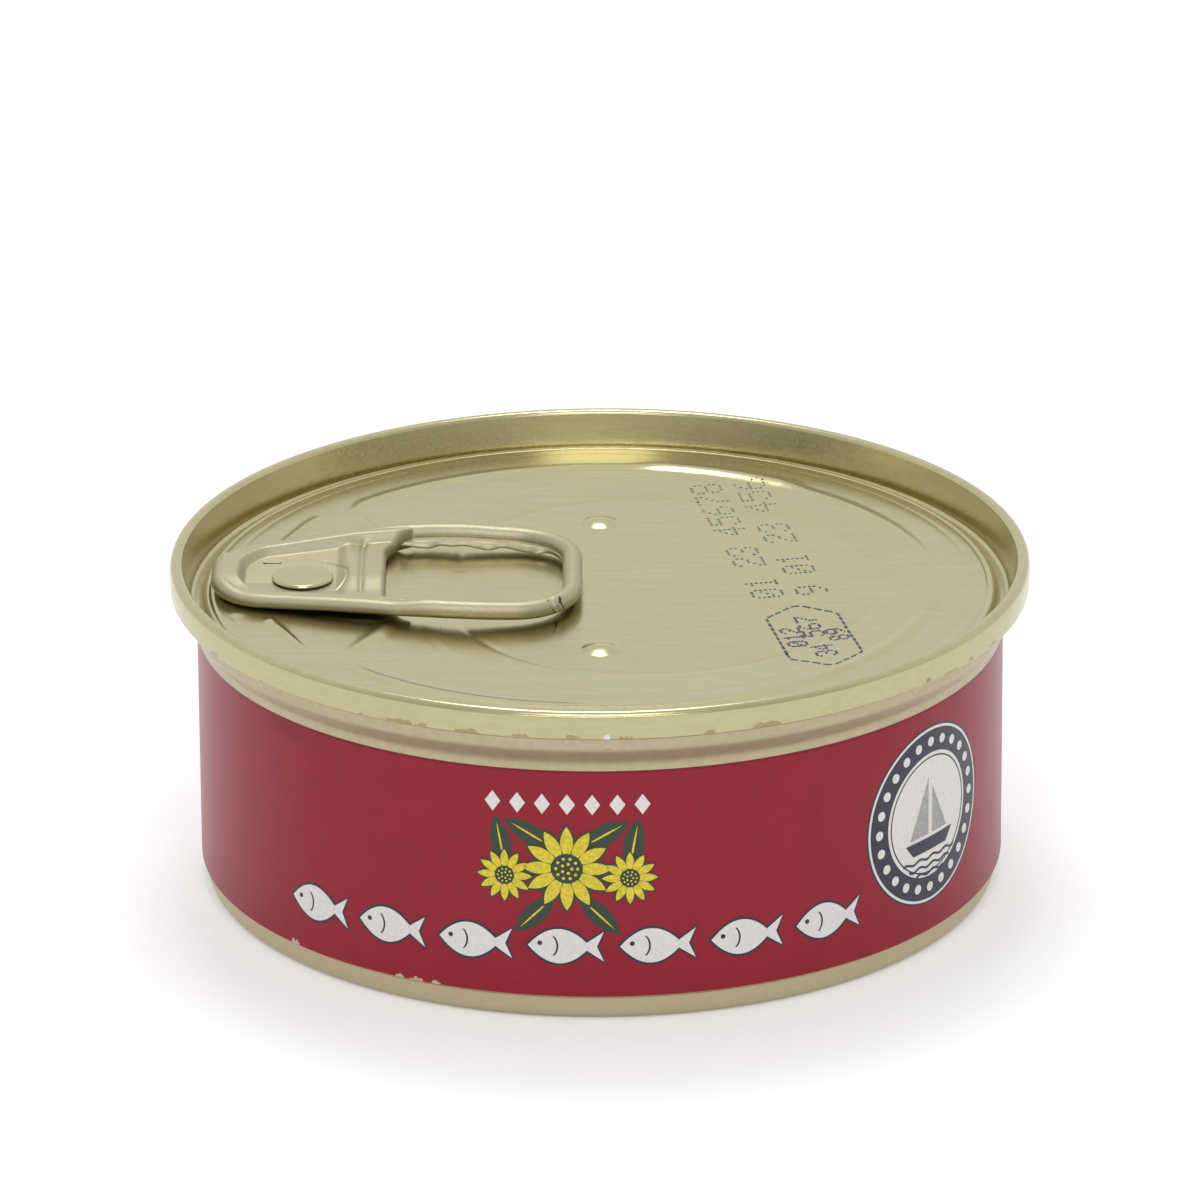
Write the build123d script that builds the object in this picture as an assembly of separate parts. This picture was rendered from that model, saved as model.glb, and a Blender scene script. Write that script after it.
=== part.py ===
from build123d import *
import os

# A small round food can, shut, standing on its base with the easy-open end up.
# It is three pieces: the drawn body with its contents, the easy-open end that is
# seamed onto it, and the pull tab that the end's own rivet holds.
# Millimetres, +Z up, origin at the middle of the base, on the standing ring.
# The tab lies along X, with its nose and the rivet on the -X side.

# ---- Overall ----
CAN_HEIGHT = 26.8
SEAM_RADIUS = 34.4  # outside of the double seam, the widest part
SHEET = 0.2  # tinplate thickness

# ---- Double seam ----
SEAM_HEIGHT = 2.3
SEAM_WIDTH = 1.0  # of the folded seam, at its top
SEAM_TOP_ROUND = 0.42
SEAM_FOOT_ROUND = 0.2

# ---- Drawn body ----
SEAM_OVERHANG = 1.0  # seam's outside beyond the neck
NECK_BELOW_SINK = 0.05  # the straight neck ends this far below the countersink
SHOULDER_STEP = 1.1  # neck's outside beyond the wall
SHOULDER_HEIGHT = 1.25
SHOULDER_ROUND = 0.6
FOOT_STEP = 0.45  # wall's outside beyond the foot
FOOT_HEIGHT = 2.0
FOOT_STEP_HEIGHT = 0.3
FOOT_ROUND = 1.0
STANDING_RING_WIDTH = 1.6
BASE_RECESS_DEPTH = 1.1
BASE_RECESS_SLOPE = 1.4
BASE_STEP_INSET = 6.0  # from the recess's edge to the step in the base
BASE_STEP_DEPTH = 0.35
BASE_STEP_SLOPE = 1.5

# ---- Easy-open end ----
CHUCK_DEPTH = 3.3  # from the seam's top down to the countersink
CHUCK_LEAN = 0.55  # the chuck wall is this much narrower at its foot
COUNTERSINK_WIDTH = 1.15
COUNTERSINK_ROUND = 0.35
PANEL_RISE = 0.8  # panel above the countersink's floor
SCORE_INSET = 0.6  # score line's distance in from the panel's edge
SCORE_WIDTH = 0.25
SCORE_DEPTH = 0.07
BEAD_INSET = 5.0  # from the panel's edge to the middle of the stiffening bead
BEAD_HEIGHT = 0.25
BEAD_FOOT_WIDTH = 1.8
BEAD_CREST_WIDTH = 0.7
BAY_RADIUS = 29.0  # the bead turns in behind the rivet on this radius
BAY_FROM_RIVET = 8.2
BEAD_CORNER = 3.0
WELL_GAP = 1.7  # from the middle of the bead to the shallow well's edge
WELL_DEPTH = 0.25
WELL_SLOPE_SIDE = 5.7  # width of the well's slope at the front and back
WELL_SLOPE_FAR = 2.7  # and opposite the rivet
WELL_SLOPE_NEAR = 3.1  # and at its straight edge, under the tab's ring
WELL_EDGE_FROM_RIVET = 9.3
WELL_CORNER_EASE = 7.0  # the well's corner radius is this much under its own
FLOOR_CORNER_EASE = 4.8
DIMPLE_SPREAD = 14.1  # each of the two raised dimples from the tab's centre line
DIMPLE_WIDTH = 3.2
DIMPLE_HEIGHT = 0.35

# ---- Rivet, drawn up out of the end ----
RIVET_INSET = 7.9  # from the panel's edge to the rivet
RIVET_BOSS_WIDTH = 10.0
RIVET_BOSS_TOP_WIDTH = 8.4
RIVET_BOSS_HEIGHT = 0.35
RIVET_SHANK_WIDTH = 3.4
RIVET_HEAD_WIDTH = 4.8
RIVET_HEAD_HEIGHT = 0.35
RIVET_CLEARANCE = 0.05

# ---- Pull tab ----
TAB_LENGTH = 29.7
TAB_WIDTH = 19.4  # across the ring's shoulders
TAB_NOSE_WIDTH = 11.2
TAB_END_WIDTH = 17.2
TAB_THICKNESS = 1.3  # height of the curled rim
TAB_RIM_WIDTH = 1.5
TAB_NOSE_REACH = 7.3  # nose's tip beyond the rivet
TAB_SHOULDER_FROM_RIVET = 10.8
TAB_NOSE_CORNER = 4.8
TAB_SHOULDER_CORNER = 7.0
TAB_END_CORNER = 5.0
TAB_HOLE_FROM_RIVET = 6.6
TAB_WEB_THICKNESS = 0.3
TAB_BEND_FROM_RIVET = 9.0  # where the ring starts to dip
TAB_BEND_LENGTH = 6.0
TAB_DIP = 0.25
TAB_BEND_ROUND = 4.0
LANCE_RADIUS = 3.6  # the C-shaped cut round the rivet that lets the web bend
LANCE_WIDTH = 0.25
LANCE_START = -60
LANCE_SWEEP = 210

# ---- Worked out from the sizes above ----
SEAM_BOTTOM = CAN_HEIGHT - SEAM_HEIGHT
CHUCK_TOP_RADIUS = SEAM_RADIUS - SEAM_WIDTH
CHUCK_FOOT_RADIUS = CHUCK_TOP_RADIUS - CHUCK_LEAN
SINK_FLOOR = CAN_HEIGHT - CHUCK_DEPTH
PANEL_RADIUS = CHUCK_FOOT_RADIUS - COUNTERSINK_WIDTH
PANEL_TOP = SINK_FLOOR + PANEL_RISE
NECK_RADIUS = SEAM_RADIUS - SEAM_OVERHANG
NECK_BOTTOM = SINK_FLOOR - SHEET - NECK_BELOW_SINK
BODY_RADIUS = NECK_RADIUS - SHOULDER_STEP
FOOT_RADIUS = BODY_RADIUS - FOOT_STEP
BEAD_RADIUS = PANEL_RADIUS - BEAD_INSET
WELL_RADIUS = BEAD_RADIUS - WELL_GAP
RIVET_X = -(PANEL_RADIUS - RIVET_INSET)
TAB_BOTTOM = PANEL_TOP + RIVET_BOSS_HEIGHT
TAB_NOSE_X = RIVET_X - TAB_NOSE_REACH
TAB_END_X = TAB_NOSE_X + TAB_LENGTH
TAB_SHOULDER_X = RIVET_X + TAB_SHOULDER_FROM_RIVET
TAB_HOLE_X = RIVET_X + TAB_HOLE_FROM_RIVET
REACH = 4 * SEAM_RADIUS  # longer than anything it has to cut across


def turned(points, radii):
    """A solid turned about Z from an outline of (radius, height) corners."""
    outline = FilletPolyline(*points, radius=radii, close=True)
    return revolve(make_face(Plane.XZ * outline), Axis.Z)


def raised(outline, low, high):
    """A flat outline drawn up between two heights."""
    return extrude(Pos(0, 0, low) * outline, amount=high - low)


def end_blank():
    """The end as turned: seam, chuck wall, countersink and a flat panel."""
    lean_at_seam_foot = CHUCK_LEAN * SEAM_HEIGHT / CHUCK_DEPTH
    under_seam_radius = CHUCK_TOP_RADIUS - lean_at_seam_foot + SHEET
    corners = [
        ((0, PANEL_TOP), 0),
        ((PANEL_RADIUS, PANEL_TOP), COUNTERSINK_ROUND),
        ((PANEL_RADIUS, SINK_FLOOR), COUNTERSINK_ROUND),
        ((CHUCK_FOOT_RADIUS, SINK_FLOOR), COUNTERSINK_ROUND),
        ((CHUCK_TOP_RADIUS, CAN_HEIGHT), SEAM_TOP_ROUND),
        ((SEAM_RADIUS, CAN_HEIGHT), SEAM_TOP_ROUND),
        ((SEAM_RADIUS, SEAM_BOTTOM), SEAM_FOOT_ROUND),
        ((under_seam_radius, SEAM_BOTTOM), 0),
        ((CHUCK_FOOT_RADIUS + SHEET, SINK_FLOOR - SHEET), COUNTERSINK_ROUND + SHEET),
        ((PANEL_RADIUS - SHEET, SINK_FLOOR - SHEET), COUNTERSINK_ROUND + SHEET),
        ((PANEL_RADIUS - SHEET, PANEL_TOP - SHEET), COUNTERSINK_ROUND / 2),
        ((0, PANEL_TOP - SHEET), 0),
    ]
    return turned([point for point, _ in corners], [radius for _, radius in corners])


def bead_outline(grow):
    """The bead's closed run: a circle that turns in behind the rivet."""
    bay_middle = RIVET_X + BAY_FROM_RIVET - BAY_RADIUS
    bay = Pos(bay_middle, 0) * Circle(BAY_RADIUS - grow)
    run = Rot(0, 0, 180) * Circle(BEAD_RADIUS + grow) - bay
    return fillet(run.vertices(), BEAD_CORNER + grow)


def bead():
    """A low rib with sloping sides that stiffens the panel."""
    foot, crest = BEAD_FOOT_WIDTH / 2, BEAD_CREST_WIDTH / 2

    def frustum(foot_grow, crest_grow):
        low = Pos(0, 0, PANEL_TOP) * bead_outline(foot_grow)
        high = Pos(0, 0, PANEL_TOP + BEAD_HEIGHT) * bead_outline(crest_grow)
        return loft([low.face(), high.face()])

    return frustum(foot, crest) - frustum(-foot, -crest)


def well_outline(middle_x, radius, edge_x, corner):
    """A circle with one straight edge, under the tab's ring, and eased corners."""
    cut = Pos(edge_x - REACH / 2, 0) * Rectangle(REACH, REACH)
    shape = Pos(middle_x, 0) * Rot(0, 0, 180) * Circle(radius) - cut
    return fillet(shape.vertices(), corner)


def well(drop):
    """The shallow well's sunken volume, lowered by drop."""
    edge_x = RIVET_X + WELL_EDGE_FROM_RIVET
    floor_radius = WELL_RADIUS - WELL_SLOPE_SIDE
    floor_middle = WELL_SLOPE_SIDE - WELL_SLOPE_FAR
    rim = well_outline(0, WELL_RADIUS, edge_x, WELL_RADIUS - WELL_CORNER_EASE)
    floor = well_outline(
        floor_middle,
        floor_radius,
        edge_x + WELL_SLOPE_NEAR,
        floor_radius - FLOOR_CORNER_EASE,
    )
    rim = Pos(0, 0, PANEL_TOP - drop) * rim
    floor = Pos(0, 0, PANEL_TOP - WELL_DEPTH - drop) * floor
    return loft([rim.face(), floor.face()])


def dimple(side):
    """One raised dimple, a shallow dome that stops the ring being turned."""
    foot = PANEL_TOP - WELL_DEPTH
    half = DIMPLE_WIDTH / 2
    dome_radius = (half**2 + DIMPLE_HEIGHT**2) / (2 * DIMPLE_HEIGHT)
    dome_middle = foot + DIMPLE_HEIGHT - dome_radius
    dome = Pos(0, side * DIMPLE_SPREAD, dome_middle) * Sphere(dome_radius)
    cap = dome & raised(Rectangle(REACH, REACH), foot - SHEET / 2, foot + REACH)
    return cap & end_envelope()


def rivet():
    """The boss that the web rests on, the shank and the flattened head."""
    web_top = TAB_BOTTOM + TAB_WEB_THICKNESS
    boss_foot = RIVET_BOSS_WIDTH / 2
    boss_top = RIVET_BOSS_TOP_WIDTH / 2
    shank = RIVET_SHANK_WIDTH / 2
    head = RIVET_HEAD_WIDTH / 2
    head_top = web_top + RIVET_HEAD_HEIGHT
    outline = [
        (0, PANEL_TOP - SHEET / 2),
        (boss_foot, PANEL_TOP - SHEET / 2),
        (boss_foot, PANEL_TOP),
        (boss_top, TAB_BOTTOM),
        (shank, TAB_BOTTOM),
        (shank, web_top),
        (head, web_top),
        (head, head_top),
        (0, head_top),
    ]
    radii = [0] * 7 + [RIVET_HEAD_HEIGHT * 0.7, 0]
    return Pos(RIVET_X, 0) * turned(outline, radii)


def easy_open_end():
    """The whole end, one stamped piece with its seam, score, bead and rivet."""
    score_radius = PANEL_RADIUS - SCORE_INSET
    score = Circle(score_radius + SCORE_WIDTH / 2) - Circle(
        score_radius - SCORE_WIDTH / 2
    )
    end = end_blank() + well(SHEET) - well(0)
    end += bead()
    end += rivet()
    for side in (-1, 1):
        end += dimple(side)
    return end - raised(score, PANEL_TOP - SCORE_DEPTH, PANEL_TOP)


def can_body():
    """The drawn body, shut and full, up to the underside of the end."""
    ring_outer = FOOT_RADIUS
    ring_inner = ring_outer - FOOT_ROUND - STANDING_RING_WIDTH
    recess_edge = ring_inner - BASE_RECESS_SLOPE
    step_edge = recess_edge - BASE_STEP_INSET
    step_floor = step_edge - BASE_STEP_SLOPE
    base_panel = BASE_RECESS_DEPTH - BASE_STEP_DEPTH
    shoulder_foot = NECK_BOTTOM - SHOULDER_HEIGHT
    corners = [
        ((0, base_panel), 0),
        ((step_floor, base_panel), SHOULDER_ROUND),
        ((step_edge, BASE_RECESS_DEPTH), SHOULDER_ROUND),
        ((recess_edge, BASE_RECESS_DEPTH), SHOULDER_ROUND),
        ((ring_inner, 0), FOOT_ROUND / 2),
        ((ring_outer, 0), FOOT_ROUND),
        ((FOOT_RADIUS, FOOT_HEIGHT), 0),
        ((BODY_RADIUS, FOOT_HEIGHT + FOOT_STEP_HEIGHT), 0),
        ((BODY_RADIUS, shoulder_foot), SHOULDER_ROUND),
        ((NECK_RADIUS, NECK_BOTTOM), SHOULDER_ROUND),
        ((NECK_RADIUS, SEAM_BOTTOM), 0),
        ((0, SEAM_BOTTOM), 0),
    ]
    body = turned([point for point, _ in corners], [radius for _, radius in corners])
    return body - end_envelope()


def end_envelope():
    """Everything from the end's underside up, which the body leaves free."""
    lean_at_seam_foot = CHUCK_LEAN * SEAM_HEIGHT / CHUCK_DEPTH
    under_seam_radius = CHUCK_TOP_RADIUS - lean_at_seam_foot + SHEET
    corners = [
        ((0, CAN_HEIGHT), 0),
        ((under_seam_radius, CAN_HEIGHT), 0),
        ((under_seam_radius, SEAM_BOTTOM), 0),
        ((CHUCK_FOOT_RADIUS + SHEET, SINK_FLOOR - SHEET), COUNTERSINK_ROUND + SHEET),
        ((PANEL_RADIUS - SHEET, SINK_FLOOR - SHEET), COUNTERSINK_ROUND + SHEET),
        ((PANEL_RADIUS - SHEET, PANEL_TOP - SHEET), COUNTERSINK_ROUND / 2),
        ((0, PANEL_TOP - SHEET), 0),
    ]
    above = turned([point for point, _ in corners], [radius for _, radius in corners])
    return above + well(SHEET)


def tab_outline(inset):
    """The tab seen from above, its edge moved in by inset."""
    nose = TAB_NOSE_WIDTH / 2 - inset
    shoulder = TAB_WIDTH / 2 - inset
    end = TAB_END_WIDTH / 2 - inset
    right = [
        (TAB_NOSE_X + inset, nose),
        (TAB_SHOULDER_X, shoulder),
        (TAB_END_X - inset, end),
    ]
    left = [(x, -y) for x, y in reversed(right)]
    side = [TAB_NOSE_CORNER, TAB_SHOULDER_CORNER, TAB_END_CORNER]
    radii = [radius - inset for radius in side + side[::-1]]
    return make_face(FilletPolyline(*right, *left, radius=radii, close=True))


def tab_slab(low, high):
    """A slab between two heights over the rivet, with the ring's dip in it."""
    bend = RIVET_X + TAB_BEND_FROM_RIVET
    line = [(TAB_NOSE_X - 1, 0), (bend, 0), (bend + TAB_BEND_LENGTH, -TAB_DIP)]
    line.append((TAB_END_X + 1, -TAB_DIP))
    top = [(x, z + high) for x, z in line]
    bottom = [(x, z + low) for x, z in reversed(line)]
    radii = [0, TAB_BEND_ROUND, TAB_BEND_ROUND, 0]
    outline = FilletPolyline(*top, *bottom, radius=radii * 2, close=True)
    face = make_face(Plane.XZ * outline)
    return extrude(face, amount=TAB_WIDTH, both=True)


def lance():
    """The C-shaped cut round the rivet."""
    arc = CenterArc((RIVET_X, 0), LANCE_RADIUS, LANCE_START, LANCE_SWEEP)
    cut = trace(arc, LANCE_WIDTH)
    return raised(cut, PANEL_TOP, CAN_HEIGHT)


def pull_tab():
    """The tab: a curled rim, the ring's hole and the web that is riveted."""
    top = TAB_BOTTOM + TAB_THICKNESS
    full = raised(tab_outline(0), PANEL_TOP - 1, CAN_HEIGHT)
    inside = raised(tab_outline(TAB_RIM_WIDTH), PANEL_TOP - 1, CAN_HEIGHT)
    rim = (full - inside) & tab_slab(TAB_BOTTOM, top)
    beyond = Pos(TAB_HOLE_X + REACH / 2, 0) * Rectangle(REACH, REACH)
    web_outline = tab_outline(TAB_RIM_WIDTH / 2) - beyond
    web_slab = tab_slab(TAB_BOTTOM, TAB_BOTTOM + TAB_WEB_THICKNESS)
    web = raised(web_outline, PANEL_TOP - 1, CAN_HEIGHT) & web_slab
    hole = Circle(RIVET_SHANK_WIDTH / 2 + RIVET_CLEARANCE)
    shank_hole = raised(Pos(RIVET_X, 0) * hole, PANEL_TOP, CAN_HEIGHT)
    return rim + web - shank_hole - lance()


os.makedirs("parts", exist_ok=True)
export_step(can_body(), "parts/can_body.step")
export_step(easy_open_end(), "parts/easy_open_end.step")
export_step(pull_tab(), "parts/pull_tab.step")
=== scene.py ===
"""The looks of a small round food can: drawn tinplate body with a printed wall, a gold
lacquered easy-open end seamed onto it, and a riveted pull tab. Laid out as an add-on
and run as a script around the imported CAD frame."""

import math

import bmesh
import bpy
import numpy as np
from bpy.props import FloatProperty, FloatVectorProperty, IntProperty, PointerProperty
from mathutils import Matrix, Vector


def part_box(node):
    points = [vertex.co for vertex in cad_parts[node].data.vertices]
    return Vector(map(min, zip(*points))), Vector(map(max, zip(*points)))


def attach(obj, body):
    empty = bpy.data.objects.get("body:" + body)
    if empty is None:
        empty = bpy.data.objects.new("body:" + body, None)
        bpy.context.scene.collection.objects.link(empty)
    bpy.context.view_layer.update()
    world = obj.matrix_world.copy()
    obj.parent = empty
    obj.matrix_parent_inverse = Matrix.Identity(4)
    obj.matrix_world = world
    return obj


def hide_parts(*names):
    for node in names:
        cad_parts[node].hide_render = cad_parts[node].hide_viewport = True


bl_info = {
    "name": "Round Food Can",
    "version": (1, 0, 0),
    "blender": (4, 5, 0),
    "location": "View3D > Sidebar > Can",
    "description": "Builds a shut food can with an easy-open end and its studio",
    "category": "Add Mesh",
}

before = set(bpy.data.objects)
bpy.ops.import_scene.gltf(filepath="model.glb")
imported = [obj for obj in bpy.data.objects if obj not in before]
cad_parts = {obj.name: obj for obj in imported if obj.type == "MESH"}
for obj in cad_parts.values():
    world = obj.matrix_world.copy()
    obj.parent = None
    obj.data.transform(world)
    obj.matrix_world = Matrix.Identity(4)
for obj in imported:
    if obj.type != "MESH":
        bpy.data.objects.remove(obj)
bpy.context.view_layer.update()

MM = 0.001
BODY_LOW, BODY_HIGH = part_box("can_body")
END_LOW, END_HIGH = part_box("easy_open_end")
TAB_LOW, TAB_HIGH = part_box("pull_tab")
AROUND = 420  # steps round the can
INK = 0.012 * MM  # thickness of one coat of printing ink, drawn thick enough to stand clear


def linear(hex_colour):
    """An sRGB hex colour as the linear numbers that shaders take."""
    parts = [int(hex_colour[i : i + 2], 16) / 255 for i in (0, 2, 4)]
    return tuple(c / 12.92 if c <= 0.04045 else ((c + 0.055) / 1.055) ** 2.4 for c in parts)


def length(name, description, millimetres):
    """A length property in metres with its default given in millimetres."""
    return FloatProperty(
        name=name,
        description=description,
        default=millimetres * MM,
        precision=5,
        subtype="DISTANCE",
        unit="LENGTH",
    )


def colour(name, description, hex_colour):
    """A colour property whose default is an sRGB hex value."""
    return FloatVectorProperty(
        name=name, description=description, default=linear(hex_colour), size=3, min=0, max=1, subtype="COLOR"
    )


class CanBodySizes(bpy.types.PropertyGroup):
    wall_radius: length("Wall radius", "Outside of the printed wall", 32.3)
    foot_radius: length("Foot radius", "Outside of the foot below the print", 31.85)
    foot_height: length("Foot height", "Where the foot steps out to the wall", 1.9)
    foot_step: length("Foot step", "Height of that step", 0.3)
    foot_round: length("Foot rounding", "Radius of the bottom corner", 1.0)
    shoulder_low: length("Shoulder foot", "Where the wall starts to flare", 21.75)
    shoulder_high: length("Shoulder top", "Where the flare meets the straight neck", 23.3)
    label_low: length("Print foot", "Lower edge of the red print", 2.2)
    label_high: length("Print top", "Upper edge of the red print", 21.16)
    recess_depth: length("Base recess", "How far the base is set up inside its ring", 1.1)


class EndSizes(bpy.types.PropertyGroup):
    panel_radius: length("Panel radius", "Edge of the flat panel", 31.7)
    panel_top: length("Panel height", "Top of the flat panel above the floor", 24.3)
    sink_floor: length("Countersink floor", "Bottom of the trough round the panel", 23.5)
    chuck_foot: length("Chuck wall foot", "Radius of the wall inside the seam, at its foot", 32.85)
    chuck_top: length("Chuck wall top", "Radius of that wall where it turns over the seam", 33.4)
    bead_radius: length("Bead radius", "Middle of the stiffening bead", 26.7)
    bead_height: length("Bead height", "Rise of the bead", 0.14)
    well_depth: length("Well depth", "Fall of the shallow well inside the bead", 0.24)
    dimple_spread: length("Dimple spread", "Each dimple from the tab's centre line", 14.1)
    score_radius: length("Score radius", "The line that tears when the can is opened", 31.1)


class TabSizes(bpy.types.PropertyGroup):
    curl_width: length("Curl width", "Width of the curled rim", 1.56)
    curl_height: length("Curl height", "Height of the curled rim", 1.46)
    web_top: length("Web height", "Top of the riveted web above the floor", 24.9)
    hole_from_rivet: length("Hole from rivet", "Straight edge of the finger hole", 6.6)
    rivet_x: length("Rivet place", "The rivet on the tab's centre line", -23.8)
    rivet_y: length("Rivet offset", "The rivet beside that line", -0.25)
    rivet_width: length("Rivet head", "Width of the flattened rivet head", 4.95)


class PrintSizes(bpy.types.PropertyGroup):
    frieze_middle: length("Frieze height", "Middle of the white frieze", 6.45)
    frieze_start: length("Frieze start", "First fish, along the wall from the front", -24.4)
    fish_pitch: length("Fish pitch", "From one fish to the next", 7.2)
    fish_count: IntProperty(name="Fish", description="Fish in the frieze", default=7, min=1)
    roundel_place: length("Roundel place", "Roundel along the wall from the front", 30.0)
    roundel_middle: length("Roundel height", "Middle of the roundel", 12.1)
    roundel_radius: length("Roundel radius", "Outside of the roundel", 7.5)
    blossom_place: length("Blossom place", "Blossoms along the wall from the front", -2.7)
    blossom_middle: length("Blossom height", "Middle of the blossoms", 12.7)


class CanColours(bpy.types.PropertyGroup):
    red: colour("Red ink", "Printed ground of the wall", "8E1C2C")
    gold: colour("Gold lacquer", "Lacquered tinplate of the end", "C0B88F")
    body_gold: colour("Body lacquer", "Lacquered tinplate of the neck and foot", "B8AC8E")
    tab_gold: colour("Tab lacquer", "Lacquered tinplate of the tab", "B5AD91")
    bare: colour("Bare tin", "Tin where the lacquer is knocked off", "D9DBDD")
    scuff: colour("Scuffed lacquer", "Rubbed lacquer along the seam's foot", "A39468")
    # also paints the painted shade of the tab's lance slit
    scratch_and_slit_shade: colour("Scratch", "Dark scratches across the tab's ring", "37342B")
    white: colour("White ink", "White of the print", "DEDBD6")
    dark: colour("Dark ink", "Blue-black of the print's outlines", "26263A")
    yellow: colour("Yellow ink", "Blossoms of the print", "DCC92E")
    green: colour("Green ink", "Leaves of the print", "2A3A28")
    grey: colour("Grey ink", "Half-tone of the roundel", "A9A7A6")
    jet: colour("Jet ink", "Ink-jet dots on the end", "2C3347")
    thin_jet: colour("Thin jet ink", "The same dots where the ink ran out", "8D8F88")
    paper: colour("Floor paper", "Paper under the can", "EDEEEF")


# ---- small builders -------------------------------------------------------------


def rounded(corners, steps_per_turn=60, closed=False):
    """The points of a line through corners (x, y, radius), with an arc at each corner."""
    points = []
    count = len(corners)
    for i, (x, y, radius) in enumerate(corners):
        at_end = not closed and i in (0, count - 1)
        if at_end or radius <= 0:
            points.append((x, y))
            continue
        here = Vector((x, y))
        back = (Vector(corners[i - 1][:2]) - here).normalized()
        on = (Vector(corners[(i + 1) % count][:2]) - here).normalized()
        half = math.acos(max(-1, min(1, back.dot(on)))) / 2
        reach = radius / math.tan(half)
        middle = here + (back + on).normalized() * radius / math.sin(half)
        first = here + back * reach - middle
        turn = math.pi - 2 * half
        if back.x * on.y - back.y * on.x > 0:
            turn = -turn
        steps = max(2, round(abs(turn) / (2 * math.pi) * steps_per_turn))
        for k in range(steps + 1):
            a = turn * k / steps
            c, s = math.cos(a), math.sin(a)
            points.append((middle.x + first.x * c - first.y * s, middle.y + first.x * s + first.y * c))
    return points


def even_points(points, count, closed=True):
    """The same line with count points at even steps."""
    line = np.array(points + ([points[0]] if closed else []), float)
    along = np.concatenate([[0], np.cumsum(np.hypot(*np.diff(line, axis=0).T))])
    at = np.linspace(0, along[-1], count + 1 if closed else count)
    even = np.column_stack([np.interp(at, along, line[:, 0]), np.interp(at, along, line[:, 1])])
    return even[:-1] if closed else even


def in_scene(name, data):
    """An object of this mesh, light or camera, linked into the scene."""
    made = bpy.data.objects.new(name, data)
    bpy.context.scene.collection.objects.link(made)
    return made


def piece(name, vertices, faces, material):
    """A mesh object at the origin with its place in its mesh."""
    mesh = bpy.data.meshes.new(name)
    mesh.from_pydata([tuple(v) for v in vertices], [], [tuple(f) for f in faces])
    mesh.validate()
    mesh.materials.append(material)
    mesh.shade_smooth()
    return in_scene(name, mesh)


def strips(rows, around, base=0):
    """Quads between closed rows of around points each."""
    faces = []
    for i in range(rows - 1):
        for j in range(around):
            k = (j + 1) % around
            a, b = base + i * around, base + (i + 1) * around
            faces.append((a + j, a + k, b + k, b + j))
    return faces


def turned(profile, around=AROUND, base=0, flip=False):
    """Vertices and faces of a profile of (radius, height) turned about Z. Ends at radius 0 are closed."""
    ring = np.linspace(0, 2 * math.pi, around, endpoint=False)
    inner = [p for p in profile if p[0] > 1e-9]
    vertices = [(r * math.cos(a), r * math.sin(a), z) for r, z in inner for a in ring]
    faces = strips(len(inner), around, base)
    for at_end, row in ((0, 0), (-1, len(inner) - 1)):
        if profile[at_end][0] > 1e-9:
            continue
        pole = base + len(vertices)
        vertices.append((0, 0, profile[at_end][1]))
        first = base + row * around
        for j in range(around):
            pair = (first + j, first + (j + 1) % around)
            faces.append((pole, pair[1], pair[0]) if at_end == 0 else (pole, pair[0], pair[1]))
    if flip:
        faces = [f[::-1] for f in faces]
    return vertices, faces


def outward(made):
    """Turns every closed shell's faces outwards."""
    work = bmesh.new()
    work.from_mesh(made.data)
    bmesh.ops.recalc_face_normals(work, faces=work.faces)
    work.to_mesh(made.data)
    work.free()
    return made


def mark(made, name, values):
    """Writes one number for each vertex, which the material reads by name."""
    attribute = made.data.attributes.new(name, "FLOAT", "POINT")
    attribute.data.foreach_set("value", np.asarray(values, np.float32))


def hold(made, slot, *nodes):
    """The piece rides with the can and stands for these CAD nodes; slot is not used."""
    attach(made, "root")
    if nodes:
        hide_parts(*nodes)


# ---- materials ------------------------------------------------------------------


# Kinds of node that come often, with the settings that go with them.
NOISE, RAMP, MATHS, MIX = "ShaderNodeTexNoise", "ShaderNodeMapRange", "ShaderNodeMath", "ShaderNodeMix"
PRINCIPLED, PLACE = "ShaderNodeBsdfPrincipled", "ShaderNodeTexCoord"
SMOOTH, OF_COLOURS = {"interpolation_type": "SMOOTHSTEP"}, {"data_type": "RGBA"}
PER_MM = 1 / MM  # a noise's scale for features about a millimetre across


def add(tree, kind, inputs=(), **settings):
    """Adds one node with its settings, values and links, and returns it. The inputs are listed in the
    sockets' order or named, and a node among them is linked from its first output in use."""
    made = tree.nodes.new(kind)
    for name, value in settings.items():
        setattr(made, name, value)
    for socket, value in inputs.items() if isinstance(inputs, dict) else enumerate(inputs):
        if isinstance(value, bpy.types.Node):
            value = next(output for output in value.outputs if output.enabled)
        if isinstance(value, bpy.types.NodeSocket):
            tree.links.new(value, made.inputs[socket])
        else:
            made.inputs[socket].default_value = value
    return made


def scaled(rgb, factor=1.0):
    """A colour made lighter or darker, as a shader takes it."""
    return (*(min(1.0, c * factor) for c in rgb), 1.0)


def new_material(name):
    """A material with an empty tree."""
    material = bpy.data.materials.new(name)
    material.use_nodes = True
    material.node_tree.nodes.clear()
    return material, material.node_tree


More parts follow.
